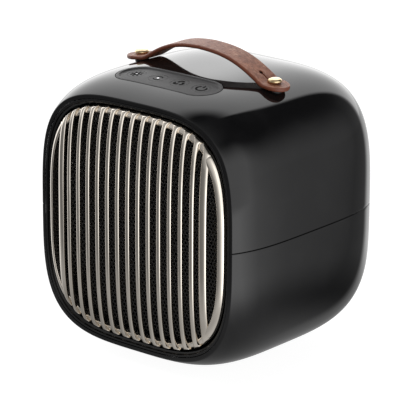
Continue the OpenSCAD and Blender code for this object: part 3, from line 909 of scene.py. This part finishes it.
def strokes(label, paths, width):
    """Rounded bars along paths of (x, y) points measured from the key's middle."""
    points, faces, count = [], [], 0
    section = np.linspace(0, 2 * math.pi, 12, endpoint=False)
    for path in paths:
        path = np.array(path, float)
        run = np.gradient(path, axis=0)
        run /= np.linalg.norm(run, axis=1)[:, None] + 1e-9
        taper = np.sqrt(np.clip(1 - np.linspace(-1, 1, len(path)) ** 8, 0.02, 1))
        reach = np.cos(section) * width / 2 * taper[:, None]
        dx = path[:, :1] - run[:, 1:] * reach
        dy = path[:, 1:] + run[:, :1] * reach
        x, y = KEY_X[label] + dx, PANEL_Y + dy
        z = surface_z(x, y) + cap_lift(np.hypot(dx, dy)) + np.sin(section) * 0.2
        points.append(np.stack([x, y, z], axis=-1).reshape(-1, 3))
        faces += closed_bar(len(path), len(section), count)
        count += len(points[-1])
    return add_piece(f"mark_{label}", np.concatenate(points), faces, f"key_{label}_body",
                     mark_black, smooth=50, merge=False)


def spoke(angle, inner, outer, count=8):
    """A straight path from radius inner to radius outer at an angle in degrees."""
    r = np.linspace(inner, outer, count)
    a = math.radians(angle)
    return np.stack([r * math.cos(a), r * math.sin(a)], axis=1)


for label in KEYS:
    make_key(label)
strokes("heat", [spoke(a, 2.6, 4.2) for a in range(0, 360, 45)] + [arc(0, 0, 1.6, 0, 360, 40)], 1.1)
strokes("timer", [arc(0, 0, 2.9, 30, 150, 24), arc(0, 0, 2.9, 210, 330, 24)], 0.9)
BLADE_R = 1.7
blade_centres = [
    (a, BLADE_R * math.cos(math.radians(a)), BLADE_R * math.sin(math.radians(a))) for a in (90, 210, 330)
]
strokes("fan", [arc(x, y, BLADE_R, a - 60, a + 130, 24) for a, x, y in blade_centres], BLADE_R)
strokes("power", [arc(0, 0, 3.3, 125, 415, 50), spoke(90, 1.4, 4.4)], 1.3)
lamp("heat", 0.7, lamp_grey)
lamp("timer", 0.8, lamp_white)

# %% [markdown]
# The strap is one band of leather about two and a half millimetres thick. Its side view is a curve with a
# quick rise and a flat crown, and each end lies flat under a stud and is cut round. The section is a
# rectangle with softened edges. A keyhole slit lets the strap be pushed over the stud's head: it is
# pressed into the top face, where the mesh is fine enough to hold it.

# %% The strap
strap_low, strap_high = box_mm("strap_arch")
STRAP_W = strap_high[1] - strap_low[1]
STRAP_T = 2.6
STRAP_Z = box_mm("strap_end_right")[0][2]
TIP_X = box_mm("strap_end_right")[1][0]
RISE = strap_high[2] - STRAP_T - STRAP_Z
FOOT_LEFT, FOOT_RIGHT = 47.5, 51.5
END_R = STRAP_W / 2
DROOP = 0.13
def strap_under(x):
    """Underside height: over the share t of the way from a foot to the crown it is rise * (1 - (1 - t)^2.8),
    eased in by t / (t + c), and the ends droop a little."""
    t = np.maximum(0, 1 - np.abs(x) / np.where(x < 0, FOOT_LEFT, FOOT_RIGHT))
    droop = DROOP * np.maximum(np.abs(x) - 46, 0)
    return STRAP_Z + RISE * (1 - (1 - t) ** 2.8) * 1.12 * t / (t + 0.12) - droop


def slit_depth(x, y, side):
    """How deep the keyhole is pressed, from 0 to 1: a round hole, and a slot from it towards the stud."""
    hole_x, slot_end = STUD_X - 11.5, STUD_X - 3.0
    slot = np.maximum(np.abs(y) - 0.5, np.maximum(hole_x - side * x, side * x - slot_end))
    hole = np.hypot(side * x - hole_x, y) - 1.4
    return np.clip(-np.minimum(slot, hole) / 0.25, 0, 1)


def strap_half(name, side):
    """Sections along the strap from its crown to its round tip; side is -1 for the left half."""
    straight = np.linspace(0, TIP_X - END_R, 230)
    turn = np.radians(np.linspace(0, 90, 44))[1:]
    along = np.concatenate([straight, TIP_X - END_R + END_R * np.sin(turn)])
    half = np.concatenate([np.full(len(straight), END_R), END_R * np.cos(turn)])[:, None]
    face, below = np.linspace(-1, 1, 121), np.linspace(1, -1, 41)
    v = np.concatenate([face, below])[None, :]
    up = np.concatenate([np.ones(121), -np.ones(41)])[None, :]
    edge = np.minimum(1.0, half + 0.01)
    y = half * v
    lift = up * (STRAP_T / 2 - rounding(half * (1 - np.abs(v)), edge))
    x = np.broadcast_to(side * along[:, None], y.shape)
    slope = np.gradient(strap_under(x[:, 0]), x[:, 0])[:, None]
    lean = np.sqrt(1 + slope ** 2)
    pressed = slit_depth(x, y, side) * (up > 0) * 1.6
    z = strap_under(x) + STRAP_T / 2 + (lift - pressed) / lean
    x = x - slope / lean * (lift - pressed)
    return add_piece(name, np.stack([x, y, z], axis=-1), closed_bar(len(along), 162, 0), None,
                     leather, smooth=50)


def mark_edges(piece):
    """Writes the edge attribute: 1 on the strap's sides and tip by how the surface turns, 2 in the keyhole,
    which the leather finish paints near-black as shade in the hole, else 0.
    """
    mesh = piece.data
    normals = np.zeros(len(mesh.vertices) * 3, np.float32)
    at = np.zeros(len(mesh.vertices) * 3, np.float32)
    mesh.vertices.foreach_get("normal", normals)
    mesh.vertices.foreach_get("co", at)
    normals, at = normals.reshape(-1, 3), at.reshape(-1, 3)
    tip = np.abs(at[:, 0]) > (TIP_X - END_R) * MM
    value = np.clip(np.hypot(normals[:, 1], normals[:, 0] * tip) / 0.8, 0, 1)
    x, y, z = at.T / MM
    # Points in the pressed keyhole; they get the value 2, which is painted shade.
    keyhole_shade_mask = (strap_under(x) + STRAP_T - z > 0.35) & (np.abs(y) < 1.6) & (z - strap_under(x) > 0.4) & ~tip
    value = np.where(keyhole_shade_mask, 2.0, value)
    layer = mesh.attributes.new("cut_edge", "FLOAT", "POINT")
    layer.data.foreach_set("value", value.astype(np.float32))


for side, label in ((-1, "left"), (1, "right")):
    half_strap = strap_half(f"strap_{label}", side)
    mark_edges(half_strap)
    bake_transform(half_strap)
    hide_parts(f"strap_end_{label}", "strap_arch")

# %% [markdown]
# A stud is turned from brass: a low, rounded head on a neck that passes through the leather. A turned
# piece is a profile spun round an axis, so its points are radius and height, and the angle gives the
# rest.

# %% The studs


def turned(name, profile, x0, y0, z0, body, finish, steps=64):
    """Spins (radius, height) points round the upright line through x0, y0."""
    t = np.linspace(0, 2 * math.pi, steps, endpoint=False)
    r, h = np.array(profile, float).T
    x = x0 + np.outer(r, np.cos(t))
    y = y0 + np.outer(r, np.sin(t))
    z = np.broadcast_to((z0 + h)[:, None], x.shape)
    points = np.stack([x, y, z], axis=-1)
    faces = grid_faces(len(profile), steps, False, True)
    return add_piece(name, points, faces, body, finish, smooth=40)


HEAD_Z = float(strap_under(np.array(STUD_X))) + STRAP_T + 0.05
HEAD_R = 4.6
head_profile = (
    [(0, -13), (2.0, -13), (2.0, -2.7), (2.2, -2.6), (2.2, 0), (HEAD_R - 1.0, 0)]
    + arc(HEAD_R - 1.0, 1.0, 1.0, -90, 0, 6)
    + arc(HEAD_R - 1.5, 1.2, 1.5, 0, 75, 9)
    + [(2.4, 2.80), (1.2, 2.88), (0, 2.9)]
)
for side, label in ((-1, "left"), (1, "right")):
    stud = turned(f"stud_{label}_brass", head_profile, side * STUD_X, 0, HEAD_Z, "case", brass)
    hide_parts(f"stud_{label}")

# %% [markdown]
# The gloss case is a mirror for the room, so the room is painted as light and dark by direction. A tall
# bright wall stands behind and to the left, for the top of the case. The right side is bright low down
# and dims towards the back, for the side of the case and the right flank of every rib. Above and in front
# it is nearly dark. The floor is white for the lens and answers reflections with the same painted light.
# It is darker beside the heater, and a strip right in front is a little lighter, for the lower ends of
# the ribs.

# %% The painted room
LOW_LIGHT = [
    (-180, 0.19), (-145, 0.15), (-112, 0.15), (-95, 1.3), (-1, 1.4), (6, 0.20), (22, 0.21),
    (42, 0.50), (66, 0.98), (92, 2.0), (120, 2.2), (140, 0.8), (160, 0.32), (180, 0.19),
]


def compass(x, y):
    """Angle from +Y towards +X in degrees, from -180 to 180."""
    return x.math("ARCTAN2", y) * math.degrees(1)


def low_light(s, azimuth):
    """The room's light near the floor, by compass angle."""
    stops = [((a + 180) / 360, (v / 3, v / 3, v / 3)) for a, v in LOW_LIGHT]
    return s.node("ShaderNodeValToRGB", {"stops": stops}, Fac=azimuth / 360.0 + 0.5) * 3.0


def paint_room():
    """Light by direction: a wall behind and left, the low light, and faint lobes ahead and front left."""
    world = bpy.data.worlds.new("room")
    world.use_nodes = True
    tree = world.node_tree
    s = Signal(tree)
    way = s.node("ShaderNodeTexCoord", out=0)
    x, y, z = (s.node("ShaderNodeSeparateXYZ", out=k, Vector=way) for k in range(3))
    azimuth = compass(x, y)
    height = z.math("ARCSINE") * math.degrees(1)
    wall = azimuth.between(-112.0, -98.0) * (1 - azimuth.between(-2.0, 5.0))
    wall = wall * (1 - height.between(56.0, 75.0))
    wall = wall * (2.1 - height.between(6.0, 28.0) * 0.4)
    reach = azimuth.between(50.0, 85.0) * 16.0
    low = low_light(s, azimuth).math("MINIMUM", 1.3) * (1 - (height - reach).between(2.0, 36.0))
    ahead = (z * 0.7 - y * 0.7 + x * 0.12).between(0.55, 1.0) * 0.28
    left = azimuth.between(-160.0, -142.0) * (1 - azimuth.between(-112.0, -100.0))
    left = left * height.between(0.0, 12.0) * (1 - height.between(46.0, 60.0)) * 0.35
    background = tree.nodes["Background"]
    background.inputs["Color"].default_value = colour(1, 1, 1)
    tree.links.new((wall.math("MAXIMUM", low) + ahead + left + 0.03).socket, background.inputs["Strength"])
    bpy.context.scene.world = world


def make_floor():
    """A wide square under the feet. Its painted light turns about a point under the case's right side, where
    every bearing meets, so a fixed grey takes over close to that point."""
    mesh = bpy.data.meshes.new("floor")
    r = 12.0
    mesh.from_pydata([(-r, -r, 0), (r, -r, 0), (r, r, 0), (-r, r, 0)], [], [(0, 1, 2, 3)])
    floor = bpy.data.objects.new("floor", mesh)
    bpy.context.scene.collection.objects.link(floor)
    material = bpy.data.materials.new("floor_paint")
    material.use_nodes = True
    tree = material.node_tree
    tree.nodes.clear()
    s = Signal(tree)
    seen = s.node("ShaderNodeLightPath", out=0)
    white = s.node("ShaderNodeBsdfDiffuse", Color=colour(0.25, 0.25, 0.25))
    glow = s.node("ShaderNodeEmission", Color=colour(1, 1, 1), Strength=0.95)
    lit = s.node("ShaderNodeAddShader", i0=white, i1=glow)
    at = s.node("ShaderNodeTexCoord", out=3)
    x, y = (s.node("ShaderNodeSeparateXYZ", out=k, Vector=at) for k in range(2))
    away = (x * x + y * y).math("SQRT")
    from_x, from_y = x - 0.08, y + 0.03
    azimuth = compass(from_x, from_y)
    beside = y.between(-0.17, -0.09)
    corner = (from_x * from_x + from_y * from_y).math("SQRT").between(0.01, 0.14)
    corner = (1 - corner) * beside
    shade = (1 - away.between(0.12, 0.28)) * beside
    cap = 1.3 + (1 - away.between(0.38, 0.75)) * 1.2
    painted = low_light(s, azimuth).math("MINIMUM", cap) * (1 - shade * 0.72)
    strip = y.between(-0.30, -0.14) * (1 - y.between(-0.09, -0.05)) * (1 - x.between(0.10, 0.20))
    painted = painted * (1 - corner) + corner * 0.38 + strip * 0.2
    dim = s.node("ShaderNodeEmission", Color=colour(1, 1, 1), Strength=painted)
    mixed = s.node("ShaderNodeMixShader", i0=seen, i1=dim, i2=lit)
    output = tree.nodes.new("ShaderNodeOutputMaterial")
    tree.links.new(mixed.socket, output.inputs["Surface"])
    mesh.materials.append(material)


paint_room()
make_floor()

# %% [markdown]
# Leather and soft lacquer need light that the gloss must not mirror. One wide lamp overhead is hidden
# from mirror-like reflections, so it only fills the matt surfaces.

# %% The overhead fill
fill = bpy.data.lights.new("fill", "AREA")
fill.shape = "RECTANGLE"
fill.size, fill.size_y = 1.6, 1.6
fill.energy = 8.5
fill_lamp = bpy.data.objects.new("fill", fill)
fill_lamp.location = (-0.3, -0.5, 1.7)
fill_lamp.rotation_mode = "QUATERNION"
fill_lamp.rotation_quaternion = Vector((-0.3, -0.5, 1.6)).to_track_quat("Z", "Y")
fill_lamp.visible_glossy = False
bpy.context.scene.collection.objects.link(fill_lamp)
bpy.context.scene.view_settings.view_transform = "Standard"
